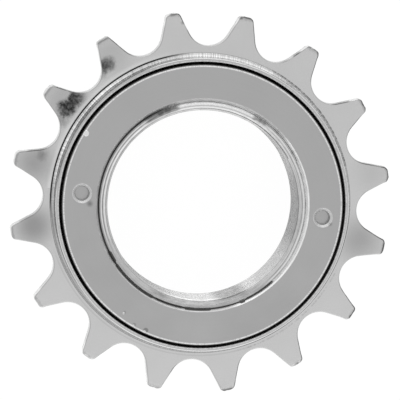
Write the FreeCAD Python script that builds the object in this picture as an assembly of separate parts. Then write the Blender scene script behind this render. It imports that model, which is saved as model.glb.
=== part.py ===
# Single speed freewheel, millimetres. +Z runs out of the hub along the axle line.
# The origin is on the axis, in the plane of the face that meets the hub.
# The two pin-spanner holes of the lock ring lie on the X axis.
import FreeCAD, Part
import math
import os

Vector = FreeCAD.Vector

# Chain and teeth
chain_pitch = 12.7
roller_diameter = 7.75
tooth_count = 16
tooth_thickness = 2.9
tooth_rise = 2.03
flank_half_angle = 19.0
tip_corner_radius = 0.55
tip_bevel_length = 0.5
tip_bevel_depth = 0.15
tooth_phase = 3.41
tooth_setback = 6.0

# Hub thread at its full depth, and the plain relief behind it
bore_radius = 34.925 / 2
mouth_bevel = 0.68
relief_step = 0.54
relief_depth = 3.5
rear_mouth_bevel = 0.3

# Walls and steps of the core, outwards from the hub thread
neck_wall = 1.24
neck_edge_break = 0.22
pocket_wall = 1.29
carrier_wall = 4.54
flange_edge_break = 0.3

# Lock ring, its thread and its pin holes
ring_thread_clearance = 0.1
ring_countersink = 0.52
ring_edge_break = 0.2
pin_circle_radius = 21.86
pin_hole_radius = 1.325
pin_hole_depth = 1.5
pin_hole_bevel = 0.37
pin_hole_count = 2

# Ratchet and pawls
ratchet_teeth = 24
ratchet_depth = 1.2
carrier_clearance = 0.3
carrier_step_clearance = 0.25
carrier_top_clearance = 0.1
pawl_count = 2
first_pawl_angle = 75.0
pawl_reach = 7.5
pawl_root_clearance = 0.2
pawl_crest_clearance = 0.2
pawl_tip_height = 1.5
pawl_heel_radius = 1.1
pawl_heel_clearance = 0.05
pawl_face_clearance = 0.05
pawl_side_clearance = 0.1
pocket_bottom_clearance = 0.35
pocket_end_clearance = 0.45
pocket_slope_length = 1.6

# Leaf spring under each pawl
spring_thickness = 0.25
spring_side_clearance = 0.6
spring_foot_setback = 0.6
spring_foot_length = 1.6
spring_bend_radius = 1.2
spring_end_setback = 1.35
spring_contact_clearance = 0.05

# Balls and their races
ball_diameter = 3.175
ball_gap = 0.25
race_conformity = 0.52
race_clearance = 0.03
race_land = 0.72
running_gap = 0.5
web_thickness = 4.69
plate_over_balls = 1.9

# Outer body, outwards from its opening
front_wall = 0.71
shoulder_flare = 0.68
rear_wall = 1.15
edge_break = 0.15
rear_edge_break = 0.5
body_front_recess = 0.4
core_front_recess = 0.2
body_rear_recess = 0.6

# Shims between the core's carrier and the lock ring
shim_thicknesses = {"shim_thin": 0.1, "shim_middle": 0.15, "shim_thick": 0.2}
shim_bore_clearance = 0.1
shim_edge_setback = 0.6

# Radii that follow from the sizes above
pitch_radius = chain_pitch / 2 / math.sin(math.pi / tooth_count)
tip_radius = pitch_radius + tooth_rise
seat_radius = 0.505 * roller_diameter + 0.069 * roller_diameter ** (1 / 3)
neck_radius = bore_radius + neck_wall
ring_bore_radius = neck_radius + ring_thread_clearance
pocket_floor_radius = bore_radius + pocket_wall
carrier_radius = bore_radius + carrier_wall
shim_outer_radius = carrier_radius - shim_edge_setback
heel_centre_radius = carrier_radius - pawl_heel_radius
ratchet_crest_radius = carrier_radius + carrier_clearance
ratchet_root_radius = ratchet_crest_radius + ratchet_depth
pawl_out_radius = ratchet_root_radius - pawl_root_clearance
pawl_folded_radius = ratchet_crest_radius - pawl_crest_clearance
ball_radius = ball_diameter / 2
race_radius = race_conformity * ball_diameter
race_offset = (race_radius - ball_radius - race_clearance) * math.sqrt(0.5)
row_radius = ratchet_root_radius + race_land
inner_race_radius = row_radius + race_offset - race_radius
opening_radius = row_radius - race_offset + race_radius
ring_outer_radius = opening_radius - running_gap
shoulder_top_radius = opening_radius + front_wall
shoulder_base_radius = shoulder_top_radius + shoulder_flare
barrel_radius = opening_radius + rear_wall

# Heights above the hub that follow from the sizes above
rear_ball_z = plate_over_balls + race_radius - race_offset
web_bottom = rear_ball_z - race_offset + race_radius
web_top = web_bottom + web_thickness
front_ball_z = web_top + race_radius - race_offset
total_height = front_ball_z - race_offset + race_radius + plate_over_balls
body_front_z = total_height - body_front_recess
core_front_z = total_height - core_front_recess
tooth_middle_z = total_height - tooth_setback
plate_front_z = tooth_middle_z + tooth_thickness / 2
plate_rear_z = tooth_middle_z - tooth_thickness / 2
carrier_bottom = web_bottom - carrier_step_clearance
carrier_top = web_top - carrier_top_clearance
ring_bottom = carrier_top + sum(shim_thicknesses.values())
pocket_bottom = web_bottom + pocket_bottom_clearance
pawl_bottom = pocket_bottom + pawl_side_clearance
pawl_top = carrier_top - pawl_side_clearance


def polar(radius, degrees):
    turn = math.radians(degrees)
    return Vector(radius * math.cos(turn), radius * math.sin(turn), 0)


def line(start, end):
    return Part.LineSegment(start, end).toShape()


def arc(start, middle, end):
    return Part.Arc(start, middle, end).toShape()


def turned(shape, degrees):
    copy = shape.copy()
    copy.rotate(Vector(0, 0, 0), Vector(0, 0, 1), degrees)
    return copy


def flat_shape(edges, bottom, top):
    """Extrudes a closed outline drawn in the XY plane from one height to another."""
    face = Part.Face(Part.Wire(Part.__sortEdges__(edges)))
    face.translate(Vector(0, 0, bottom))
    return face.extrude(Vector(0, 0, top - bottom))


def closed_lines(points):
    return [line(a, b) for a, b in zip(points, points[1:] + points[:1])]


def section_path(steps):
    """Edges of a radial section. A step is a corner (r, z), or (centre r, z, first, last angle)."""
    here = Vector(steps[0][0], 0, steps[0][1])
    edges = []
    for step in steps[1:]:
        after = Vector(step[0], 0, step[1])
        if len(step) == 2:
            edges.append(line(here, after))
            here = after
            continue
        first, middle, last = (
            after + Vector(race_radius * math.cos(a), 0, race_radius * math.sin(a))
            for a in map(math.radians, (step[2], (step[2] + step[3]) / 2, step[3]))
        )
        edges.append(line(here, first))
        edges.append(arc(first, middle, last))
        here = last
    return edges


def turned_piece(steps):
    """Revolves a closed radial section about the axis. Its first step is a corner."""
    edges = section_path(steps + [steps[0]])
    face = Part.Face(Part.Wire(edges))
    return face.revolve(Vector(0, 0, 0), Vector(0, 0, 1), 360)


def tooth_edges(tooth):
    """One tooth's flanks and tip, and the roller seat that joins it to the next tooth."""
    half_pitch = 180 / tooth_count
    seat_centre = polar(pitch_radius, half_pitch)
    lean = math.radians(flank_half_angle)
    foot = seat_centre + Vector(-math.sin(lean), -math.cos(lean), 0) * seat_radius
    along = Vector(math.cos(lean), -math.sin(lean), 0)
    middle = foot.dot(along)
    reach = -middle + math.sqrt(middle**2 + tip_radius**2 - foot.dot(foot))
    corner = foot + along * reach
    foot_below = Vector(foot.x, -foot.y, 0)
    corner_below = Vector(corner.x, -corner.y, 0)
    next_foot = turned(Part.Vertex(foot_below), 2 * half_pitch).Point
    edges = [
        line(foot_below, corner_below),
        arc(corner_below, Vector(tip_radius, 0, 0), corner),
        line(corner, foot),
        arc(foot, polar(pitch_radius - seat_radius, half_pitch), next_foot),
    ]
    place = tooth_phase + (2 * tooth + 1) * half_pitch
    return [turned(edge, place) for edge in edges]


def toothed_plate():
    """The ring of chain teeth, with rounded tip corners and both tip faces bevelled."""
    edges = []
    for tooth in range(tooth_count):
        edges += tooth_edges(tooth)
    plate = flat_shape(edges, plate_rear_z, plate_front_z)
    corners = [
        edge
        for edge in plate.Edges
        if abs(edge.Vertexes[0].Z - edge.Vertexes[-1].Z) > tooth_thickness / 2
        and math.hypot(edge.Vertexes[0].X, edge.Vertexes[0].Y) > tip_radius - tip_corner_radius
    ]
    plate = plate.makeFillet(tip_corner_radius, corners)
    bevel_start = tip_radius - tip_bevel_length
    outside = tip_radius + tip_bevel_length
    drop = 2 * tip_bevel_depth
    lens = turned_piece(
        [
            (0, plate_rear_z),
            (bevel_start, plate_rear_z),
            (outside, plate_rear_z + drop),
            (outside, plate_front_z - drop),
            (bevel_start, plate_front_z),
            (0, plate_front_z),
        ]
    )
    hub = Part.makeCylinder(
        (shoulder_top_radius + opening_radius) / 2, tooth_thickness, Vector(0, 0, plate_rear_z)
    )
    return plate.common(lens).cut(hub)


def pawl_points(radius):
    """Corners of a pawl whose tip is at this radius: X outwards through the pivot, Y to the tip."""
    pivot = Vector(heel_centre_radius, 0, 0)
    rise = (radius**2 - heel_centre_radius**2 - pawl_reach**2) / (
        2 * heel_centre_radius * pawl_reach
    )
    along = Vector(rise, math.sqrt(1 - rise**2), 0)
    inwards = Vector(-along.y, along.x, 0)
    tip_outer = pivot + along * pawl_reach
    tip_inner = tip_outer + inwards * pawl_tip_height
    return pivot, along, inwards, tip_outer, tip_inner


def tangent_on_heel(point, side):
    """Where a line from the point touches the round heel, on its outer (-1) or inner (+1) side."""
    pivot = Vector(heel_centre_radius, 0, 0)
    towards = point - pivot
    swing = side * math.acos(pawl_heel_radius / towards.Length)
    turn = math.atan2(towards.y, towards.x) + swing
    return pivot + Vector(math.cos(turn), math.sin(turn), 0) * pawl_heel_radius


def pawl(angle):
    """A wedge with a round heel, folded into its pocket as it is while the teeth pass over it."""
    pivot, _, _, tip_outer, tip_inner = pawl_points(pawl_folded_radius)
    outer = tangent_on_heel(tip_outer, -1)
    inner = tangent_on_heel(tip_inner, 1)
    back = pivot - Vector(0, pawl_heel_radius, 0)
    edges = [
        line(outer, tip_outer),
        line(tip_outer, tip_inner),
        line(tip_inner, inner),
        arc(inner, back, outer),
    ]
    return turned(flat_shape(edges, pawl_bottom, pawl_top), angle)


def pawl_pocket(angle):
    """The space milled in the core for one pawl and its spring, with a half-round heel seat."""
    pivot, _, _, _, tip_inner = pawl_points(pawl_out_radius)
    seat = pawl_heel_radius + pawl_heel_clearance
    outside = ratchet_root_radius
    end = tip_inner.y + pocket_end_clearance
    corners = [
        Vector(outside, 0, 0),
        Vector(pivot.x - seat, 0, 0),
        Vector(pocket_floor_radius, pocket_slope_length, 0),
        Vector(pocket_floor_radius, end, 0),
        Vector(outside, end, 0),
    ]
    depth = total_height - pocket_bottom
    space = flat_shape(closed_lines(corners), pocket_bottom, total_height)
    heel = Part.makeCylinder(seat, depth, pivot + Vector(0, 0, pocket_bottom))
    sleeve = Part.makeCylinder(neck_radius, depth, Vector(0, 0, pocket_bottom))
    return turned(space.fuse(heel).cut(sleeve), angle)


def pawl_spring(angle):
    """A bent strip under the folded pawl: its foot lies on the pocket's floor."""
    _, _, inwards, _, tip_inner = pawl_points(pawl_folded_radius)
    back = tangent_on_heel(tip_inner, 1) - tip_inner
    contact = tip_inner + back * (spring_end_setback / back.Length)
    end = contact + inwards * (spring_thickness / 2 + spring_contact_clearance)
    foot_x = pocket_floor_radius + spring_thickness / 2
    foot_y = pocket_slope_length + spring_foot_setback
    start = Vector(foot_x, foot_y, 0)
    bend = Vector(foot_x, foot_y + spring_foot_length, 0)
    rise = math.atan2(end.x - bend.x, end.y - bend.y)
    back_off = spring_bend_radius * math.tan(rise / 2)
    before = bend - Vector(0, back_off, 0)
    climb = Vector(math.sin(rise), math.cos(rise), 0)
    after = bend + climb * back_off
    centre = before + Vector(spring_bend_radius, 0, 0)
    middle = centre + Vector(-math.cos(rise / 2), math.sin(rise / 2), 0) * spring_bend_radius

    def side(shift):
        scale = (spring_bend_radius + shift) / spring_bend_radius
        level = Vector(-shift, 0, 0)
        slanted = Vector(-math.cos(rise), math.sin(rise), 0) * shift
        points = [start + level, before + level, after + slanted, end + slanted]
        return points, centre + (middle - centre) * scale

    below, below_middle = side(spring_thickness / 2)
    above, above_middle = side(-spring_thickness / 2)
    edges = [
        line(below[0], below[1]),
        arc(below[1], below_middle, below[2]),
        line(below[2], below[3]),
        line(below[3], above[3]),
        line(above[3], above[2]),
        arc(above[2], above_middle, above[1]),
        line(above[1], above[0]),
        line(above[0], below[0]),
    ]
    strip = flat_shape(edges, pawl_bottom + spring_side_clearance, pawl_top - spring_side_clearance)
    return turned(strip, angle)


def point_at_radius(start, direction, radius):
    """Where a line leaves the circle of the given radius, going along the direction."""
    middle = start.dot(direction)
    return start + direction * (math.sqrt(middle**2 + radius**2 - start.dot(start)) - middle)


def ratchet_space():
    """The star-shaped hole inside the body. Each steep face meets the end of a pawl that is out."""
    _, along, inwards, tip_outer, _ = pawl_points(pawl_out_radius)
    near = tip_outer + along * pawl_face_clearance
    root = point_at_radius(near, inwards * -1, ratchet_root_radius)
    crest = point_at_radius(near, inwards * -1, ratchet_crest_radius)
    step = 360 / ratchet_teeth
    corners = []
    for tooth in range(ratchet_teeth):
        turn = first_pawl_angle + tooth * step
        corners += [turned(Part.Vertex(p), turn).Point for p in (root, crest)]
    return flat_shape(closed_lines(corners), rear_ball_z, front_ball_z)


def sprocket_body():
    """Teeth, shoulder, ball cups and ratchet in one piece, as it is forged and turned."""
    near_row = row_radius - race_offset
    rear_race_z = rear_ball_z - race_offset
    front_race_z = front_ball_z + race_offset
    shell = turned_piece(
        [
            (opening_radius, body_rear_recess + edge_break),
            (near_row, rear_race_z, 0, 90),
            (ratchet_crest_radius, web_bottom),
            (ratchet_crest_radius, web_top),
            (near_row, front_race_z, -90, 0),
            (opening_radius, body_front_z - edge_break),
            (opening_radius + edge_break, body_front_z),
            (shoulder_top_radius - edge_break, body_front_z),
            (shoulder_top_radius, body_front_z - edge_break),
            (shoulder_base_radius, plate_front_z),
            (shoulder_base_radius, plate_rear_z),
            (barrel_radius, plate_rear_z),
            (barrel_radius, body_rear_recess + rear_edge_break),
            (barrel_radius - rear_edge_break, body_rear_recess),
            (opening_radius + edge_break, body_rear_recess),
        ]
    )
    return shell.fuse(toothed_plate()).removeSplitter().cut(ratchet_space())


def pawl_places():
    """The letter of each pawl and the angle of its pivot."""
    letters = "abcdef"[:pawl_count]
    return [(letter, first_pawl_angle + i * 360 / pawl_count) for i, letter in enumerate(letters)]


def core():
    """The part that screws onto the hub: rear flange with its race, pawl carrier and neck.

    Behind the thread its bore is a little wider, where the thread's cutter ran out.
    """
    far_row = row_radius + race_offset
    race_z = rear_ball_z + race_offset
    relief_radius = bore_radius + relief_step
    blank = turned_piece(
        [
            (relief_radius + rear_mouth_bevel, 0),
            (ring_outer_radius - flange_edge_break, 0),
            (ring_outer_radius, flange_edge_break),
            (ring_outer_radius, race_z - race_radius),
            (far_row, race_z, -90, -180),
            (inner_race_radius, carrier_bottom),
            (carrier_radius, carrier_bottom),
            (carrier_radius, carrier_top),
            (neck_radius, carrier_top),
            (neck_radius, core_front_z - neck_edge_break),
            (neck_radius - neck_edge_break, core_front_z),
            (bore_radius + mouth_bevel, core_front_z),
            (bore_radius, core_front_z - mouth_bevel),
            (bore_radius, relief_depth + relief_step),
            (relief_radius, relief_depth),
            (relief_radius, rear_mouth_bevel),
        ]
    )
    for _, angle in pawl_places():
        blank = blank.cut(pawl_pocket(angle))
    return blank


def lock_ring():
    """The flat threaded ring that closes the front. Its rear corner is the front balls' race."""
    far_row = row_radius + race_offset
    race_z = front_ball_z - race_offset
    ring = turned_piece(
        [
            (ring_bore_radius, ring_bottom),
            (inner_race_radius, ring_bottom),
            (far_row, race_z, 180, 90),
            (ring_outer_radius, race_z + race_radius),
            (ring_outer_radius, total_height - ring_edge_break),
            (ring_outer_radius - ring_edge_break, total_height),
            (ring_bore_radius + ring_countersink, total_height),
            (ring_bore_radius, total_height - ring_countersink),
        ]
    )
    for hole in range(pin_hole_count):
        place = polar(pin_circle_radius, hole * 360 / pin_hole_count)
        floor = place + Vector(0, 0, total_height - pin_hole_depth)
        bevel = place + Vector(0, 0, total_height - pin_hole_bevel)
        ring = ring.cut(Part.makeCylinder(pin_hole_radius, pin_hole_depth, floor))
        ring = ring.cut(
            Part.makeCone(pin_hole_radius, pin_hole_radius + pin_hole_bevel, pin_hole_bevel, bevel)
        )
    return ring


def ball_row(height):
    """A full row of loose balls, evenly spread."""
    count = int(2 * math.pi * row_radius / (ball_diameter + ball_gap))
    balls = [
        Part.makeSphere(ball_radius, polar(row_radius, ball * 360 / count) + Vector(0, 0, height))
        for ball in range(count)
    ]
    return Part.makeCompound(balls)


def shims():
    """The stack of thin washers that sets the play of the ball races."""
    stack = {}
    bottom = carrier_top
    bore = neck_radius + shim_bore_clearance
    for name, thickness in shim_thicknesses.items():
        disc = Part.makeCylinder(shim_outer_radius, thickness, Vector(0, 0, bottom))
        stack[name] = disc.cut(Part.makeCylinder(bore, thickness, Vector(0, 0, bottom)))
        bottom += thickness
    return stack


def pieces():
    found = {
        "sprocket_body": sprocket_body(),
        "core": core(),
        "lock_ring": lock_ring(),
        "front_balls": ball_row(front_ball_z),
        "rear_balls": ball_row(rear_ball_z),
    }
    found.update(shims())
    for letter, angle in pawl_places():
        found["pawl_" + letter] = pawl(angle)
        found["pawl_spring_" + letter] = pawl_spring(angle)
    return found


os.makedirs("parts", exist_ok=True)
for name, shape in pieces().items():
    shape.exportStep(os.path.join("parts", name + ".step"))
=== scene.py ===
"""Single speed freewheel: its plated finishes and fine shapes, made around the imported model.

Lengths are in metres. Z is the axle line, and the two pin holes lie on X.
"""

import math

import bmesh
import bpy
from mathutils import Matrix, Vector


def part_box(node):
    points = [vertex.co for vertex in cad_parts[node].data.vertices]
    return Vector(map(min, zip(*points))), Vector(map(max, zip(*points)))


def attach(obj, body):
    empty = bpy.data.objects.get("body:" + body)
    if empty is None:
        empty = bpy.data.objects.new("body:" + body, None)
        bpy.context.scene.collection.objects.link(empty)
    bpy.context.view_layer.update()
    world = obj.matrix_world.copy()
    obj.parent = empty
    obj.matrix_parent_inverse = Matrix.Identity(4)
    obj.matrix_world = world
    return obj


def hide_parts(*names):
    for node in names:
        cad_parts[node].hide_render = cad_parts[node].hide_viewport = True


bl_info = {
    "name": "Single speed freewheel",
    "version": (1, 0, 0),
    "blender": (4, 5, 0),
    "location": "3D View > Sidebar > Freewheel",
    "description": "Makes the plated sprocket, the threads and the finishes of a freewheel",
    "category": "Object",
}

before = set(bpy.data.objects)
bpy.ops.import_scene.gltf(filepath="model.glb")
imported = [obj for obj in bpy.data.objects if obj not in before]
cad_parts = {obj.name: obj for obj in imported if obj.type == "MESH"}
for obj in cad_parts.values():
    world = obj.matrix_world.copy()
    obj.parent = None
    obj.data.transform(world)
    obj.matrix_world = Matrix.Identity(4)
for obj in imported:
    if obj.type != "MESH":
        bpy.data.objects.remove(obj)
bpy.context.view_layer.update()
BODY_LOW, BODY_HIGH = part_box("sprocket_body")
CORE_LOW, CORE_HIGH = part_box("core")

MM = 0.001
SEAMLESS = 1e-6
IMAGE_PIXELS = 400
SENSOR_WIDTH = 36.0
FLOOR_SIZE = 6.0
FLOOR_GAP = 0.02 * MM
WAVE_HEIGHT = 0.05 * MM
TIP_ROUGHNESS = 0.5 * MM
HUB_TURNS = 9.0
NECK_TURNS = 2.6


# Sizes and colours that a user may change


def length_property(name, description, millimetres):
    """A length, whose default is given in millimetres."""
    return bpy.props.FloatProperty(
        name=name, description=description, default=millimetres * MM, unit="LENGTH", precision=5
    )


def angle_property(name, description, degrees):
    """An angle, whose default is given in degrees."""
    return bpy.props.FloatProperty(
        name=name, description=description, default=math.radians(degrees), unit="ROTATION"
    )


def colour_property(name, description, default):
    """A colour, as three shares of linear light."""
    return bpy.props.FloatVectorProperty(
        name=name, description=description, default=default, subtype="COLOR", size=3
    )


class ToothSizes(bpy.types.PropertyGroup):
    """The chain teeth and the flat plate that they are cut in."""

    tooth_count: bpy.props.IntProperty(
        name="Teeth", description="Chain teeth round the sprocket", default=16, min=8
    )
    chain_pitch: length_property("Chain pitch", "From one chain roller to the next", 12.7)
    seat_radius: length_property("Seat radius", "Radius of the seat under a chain roller", 4.05)
    tooth_rise: length_property("Tooth rise", "How far a tooth stands over the pitch circle", 2.03)
    corner_radius: length_property(
        "Tip corner", "Rounding of the two corners of a tooth's tip", 0.85
    )
    flank_angle: angle_property(
        "Flank angle", "Lean of a tooth's flank from the tooth's middle line", 19
    )
    first_seat_angle: angle_property(
        "First seat", "Where the first roller seat lies, from the X axis", 3.41
    )
    plate_front: length_property("Plate front", "Height of the plate's front face", 10.449)
    plate_rear: length_property("Plate rear", "Height of the plate's rear face", 7.549)
    bevel_start: length_property(
        "Tip bevel start", "Radius where both faces start to slope at the tips", 34.079
    )
    edge_rounding: length_property(
        "Edge rounding", "Rounding that tumbling and plating leave on the plate's edges", 0.2
    )


class BodySizes(bpy.types.PropertyGroup):
    """The turned ring that carries the teeth, with its ball cups and ratchet."""

    opening_radius: length_property("Opening", "Radius of the opening round the lock ring", 25.85)
    rim_radius: length_property("Rim", "Outer radius of the front rim", 26.5)
    shoulder_radius: length_property(
        "Shoulder", "Radius of the shoulder where it meets the toothed plate", 27.24
    )
    foot_flare: length_property(
        "Foot flare", "Height of the slope at the foot of the shoulder's wall", 0.6
    )
    barrel_radius: length_property("Barrel", "Radius of the plain part behind the teeth", 27.0)
    race_centre_radius: length_property(
        "Race centre", "Radius of the circle on which the races' hollows are centred", 24.199
    )
    race_radius: length_property(
        "Race hollow", "Radius of the hollow that the balls run in", 1.651
    )
    rear_race_height: length_property("Rear race", "Height of the rear hollow's centre", 3.504)
    front_race_height: length_property("Front race", "Height of the front hollow's centre", 11.496)
    ratchet_teeth: bpy.props.IntProperty(
        name="Ratchet teeth", description="Teeth of the ratchet inside", default=24, min=8
    )
    ratchet_root: length_property(
        "Ratchet root", "Radius of the ratchet's deepest corners", 23.502
    )
    ratchet_crest: length_property(
        "Ratchet crest", "Radius of the ratchet's innermost corners", 22.302
    )
    ratchet_face: angle_property(
        "Ratchet face", "Angle that a ratchet tooth's steep face takes up", 1.621
    )


class ThreadSizes(bpy.types.PropertyGroup):
    """The hub thread in the bore and the finer thread under the lock ring."""

    hub_radius: length_property(
        "Hub thread", "Radius of the hub thread at its full depth", 17.4625
    )
    hub_pitch: length_property("Hub pitch", "Rise of the hub thread in one turn", 25.4 / 24)
    hub_crest: length_property("Hub ridge", "Height of the hub thread's ridge", 0.36)
    hub_bottom: length_property("Thread bottom", "Height where the hub thread starts", 4.55)
    neck_radius: length_property("Neck", "Outer radius of the core's neck", 18.7025)
    neck_pitch: length_property("Neck pitch", "Rise of the lock ring's thread in one turn", 1.0)
    neck_crest: length_property(
        "Neck ridge", "Height of the ridge in the gap between neck and ring", 0.1
    )


class FinishColours(bpy.types.PropertyGroup):
    """Colours of the finishes."""

    sprocket: colour_property(
        "Sprocket", "Bright plate on the teeth and the shoulder", (0.78, 0.78, 0.78)
    )
    ring: colour_property(
        "Lock ring", "Satin plate on the lock ring's ground face", (0.56, 0.56, 0.56)
    )
    core: colour_property("Core", "Bright plate on the core and in its bore", (0.60, 0.60, 0.60))
    steel: colour_property(
        "Bare steel", "Steel of the balls, pawls, springs and shims", (0.34, 0.34, 0.345)
    )
    # also the colour of the painted shade in the gap over the lock ring's thread
    grease_and_gap_shade: colour_property("Grease", "Dark old grease inside", (0.07, 0.069, 0.066))


class StageSizes(bpy.types.PropertyGroup):
    """Where the camera stands and how the light falls."""

    camera_distance: length_property("Camera distance", "From the plate to the camera", 700.0)
    lean_right: angle_property(
        "Lean right", "How far the camera leans to the picture's right", -5.6
    )
    lean_up: angle_property("Lean up", "How far the camera leans to the picture's top", 5.6)
    roll: angle_property("Roll", "Turn of the part's X axis in the picture, clockwise", 5.78)
    pixels_per_metre: bpy.props.FloatProperty(
        name="Scale", description="Pixels for a metre at the toothed plate", default=5520.0
    )
    middle_right: bpy.props.FloatProperty(
        name="Middle right",
        description="Where the plate's middle lies in the picture, from its left side",
        default=199.72,
    )
    middle_down: bpy.props.FloatProperty(
        name="Middle down",
        description="Where the plate's middle lies in the picture, from its top",
        default=202.37,
    )
    sky_strength: bpy.props.FloatProperty(
        name="Sky", description="Strength of the even light all round", default=1.0
    )
    lamp_power: bpy.props.FloatProperty(
        name="Softbox", description="Power of the large softbox overhead", default=0.3
    )


# Node trees


class Value:
    """A socket that carries a number, so that node maths can be written as Python sums."""

    def __init__(self, tree, socket):
        self.tree = tree
        self.socket = socket

    def __add__(self, other):
        return self.tree.maths("ADD", self, other)

    def __sub__(self, other):
        return self.tree.maths("SUBTRACT", self, other)

    def __rsub__(self, other):
        return self.tree.maths("SUBTRACT", other, self)

    def __mul__(self, other):
        return self.tree.maths("MULTIPLY", self, other)

    def __truediv__(self, other):
        return self.tree.maths("DIVIDE", self, other)

    def __pow__(self, other):
        return self.tree.maths("POWER", self, other)

    __radd__ = __add__
    __rmul__ = __mul__


class Tree:
    """Adds nodes to one node tree."""

    def __init__(self, tree):
        self.tree = tree
        tree.nodes.clear()

    def node(self, kind, settings=None, sockets=None):
        """A new node. Its settings come first, then its sockets, by name or number."""
        made = self.tree.nodes.new(kind)
        for name, value in (settings or {}).items():
            setattr(made, name, value)
        for name, value in (sockets or {}).items():
            if isinstance(value, Value):
                self.tree.links.new(value.socket, made.inputs[name])
            elif isinstance(value, bpy.types.NodeSocket):
                self.tree.links.new(value, made.inputs[name])
            else:
                made.inputs[name].default_value = value
        return made

    def maths(self, operation, *values):
        sockets = dict(enumerate(values))
        made = self.node("ShaderNodeMath", {"operation": operation}, sockets)
        return Value(self, made.outputs[0])

    def vector(self, x=0.0, y=0.0, z=0.0):
        """A vector socket from three numbers."""
        return self.node("ShaderNodeCombineXYZ", {}, {0: x, 1: y, 2: z}).outputs[0]

    def parts(self, vector):
        """The three numbers of a vector socket."""
        made = self.node("ShaderNodeSeparateXYZ", {}, {0: vector})
        return [Value(self, socket) for socket in made.outputs]

    def scaled(self, vector, factor):
        """A vector or colour made longer or lighter by a number."""
        sockets = {0: vector, "Scale": factor}
        return self.node("ShaderNodeVectorMath", {"operation": "SCALE"}, sockets).outputs[0]

    def step(self, value, low, high):
        """Rises smoothly from 0 to 1 between low and high. Low may be the larger of the two."""
        settings = {"interpolation_type": "SMOOTHSTEP"}
        sockets = {"Value": value, "From Min": low, "From Max": high}
        return Value(self, self.node("ShaderNodeMapRange", settings, sockets).outputs[0])

    def noise(self, where, scale, detail=2.0, roughness=0.5, seed=0.0):
        """Noise from 0 to 1 with its middle at a half."""
        sockets = {
            "Vector": where,
            "W": seed,
            "Scale": scale,
            "Detail": detail,
            "Roughness": roughness,
        }
        made = self.node("ShaderNodeTexNoise", {"noise_dimensions": "4D"}, sockets)
        return Value(self, made.outputs[0])


class Surface(Tree):
    """One material on Object coordinates, with the radius from the axle line at hand."""

    def __init__(self, name):
        self.material = bpy.data.materials.new(name)
        self.material.use_nodes = True
        super().__init__(self.material.node_tree)
        self.place = self.node("ShaderNodeTexCoord").outputs["Object"]
        self.x, self.y, self.z = self.parts(self.place)
        self.radius = (self.x * self.x + self.y * self.y) ** 0.5
        self.angle = self.maths("ARCTAN2", self.y, self.x) * (180.0 / math.pi)

    def around(self, turns, across, up):
        """A vector that stretches noise along circles about the axle line."""
        x, y = self.x / self.radius * turns, self.y / self.radius * turns
        return self.vector(x, y, self.radius * across + self.z * up)

    def band(self, value, low, high, soft):
        """1 between low and high, with soft ends."""
        return self.step(value, low - soft, low) * self.step(value, high + soft, high)

    def least(self, *values):
        return self.maths("MINIMUM", *values)

    def between(self, first, last, soft=1.5):
        """1 between two angles from the X axis, in degrees from -180 to 180."""
        return self.band(self.angle, first, last, soft)

    def ring(self, low, high, soft=0.03):
        """1 between two radii in millimetres."""
        return self.band(self.radius, low * MM, high * MM, soft * MM)

    def clipped(self, low, high):
        """How far the radius lies over the low one, up to the high one, in metres."""
        return self.maths("MAXIMUM", self.least(self.radius, high * MM) - low * MM, 0.0)

    def towards(self, degrees):
        """How far a point lies towards this direction in plan, as a share of its radius."""
        turn = math.radians(degrees)
        return (self.x * math.cos(turn) + self.y * math.sin(turn)) / self.radius

    def normal(self):
        """The three parts of the surface's normal, in the part's own frame."""
        world = self.node("ShaderNodeNewGeometry").outputs["Normal"]
        settings = {"vector_type": "NORMAL", "convert_from": "WORLD", "convert_to": "OBJECT"}
        own = self.node("ShaderNodeVectorTransform", settings, {0: world}).outputs[0]
        return self.parts(own)

    def facing(self, degrees):
        """How far the surface faces this direction in plan, from -1 to 1."""
        x, y, _ = self.normal()
        turn = math.radians(degrees)
        return x * math.cos(turn) + y * math.sin(turn)

    def lying(self):
        """1 where the surface lies flat, and 0 where it stands upright."""
        return self.maths("ABSOLUTE", self.normal()[2])

    def spot(self, x, y, size, soft, stray=0.0):
        """1 within a round spot in plan, in millimetres, whose edge may stray by some more."""
        across = self.x / MM - x
        along = self.y / MM - y
        apart = (across * across + along * along) ** 0.5 + stray
        return self.step(apart, size + soft, size - soft)

    def spots(self, marks, stray=0.0):
        """The strengths of all marks of a table, added up."""
        return sum(self.spot(*mark[:4], stray) * mark[4] for mark in marks)

    def blend(self, factor, first, second):
        """The first colour where the factor is 0 and the second where it is 1."""
        sockets = {0: factor, 6: first, 7: second}
        return self.node("ShaderNodeMix", {"data_type": "RGBA"}, sockets).outputs[2]

    def finish(self, colour, metallic, roughness, relief, softened=0.0):
        """Joins all to the shader. Relief is a height in metres."""
        bump = {"Height": relief, "Distance": 1.0, "Strength": 1.0}
        if softened:
            edge = self.node("ShaderNodeBevel", {"samples": 6}, {"Radius": softened})
            bump["Normal"] = edge.outputs[0]
        normal = self.node("ShaderNodeBump", {}, bump).outputs[0]
        sockets = {"Base Color": colour, "Metallic": metallic, "Roughness": roughness}
        shader = self.node("ShaderNodeBsdfPrincipled", {}, {**sockets, "Normal": normal})
        self.node("ShaderNodeOutputMaterial", {}, {"Surface": shader.outputs[0]})
        return self.material


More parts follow.
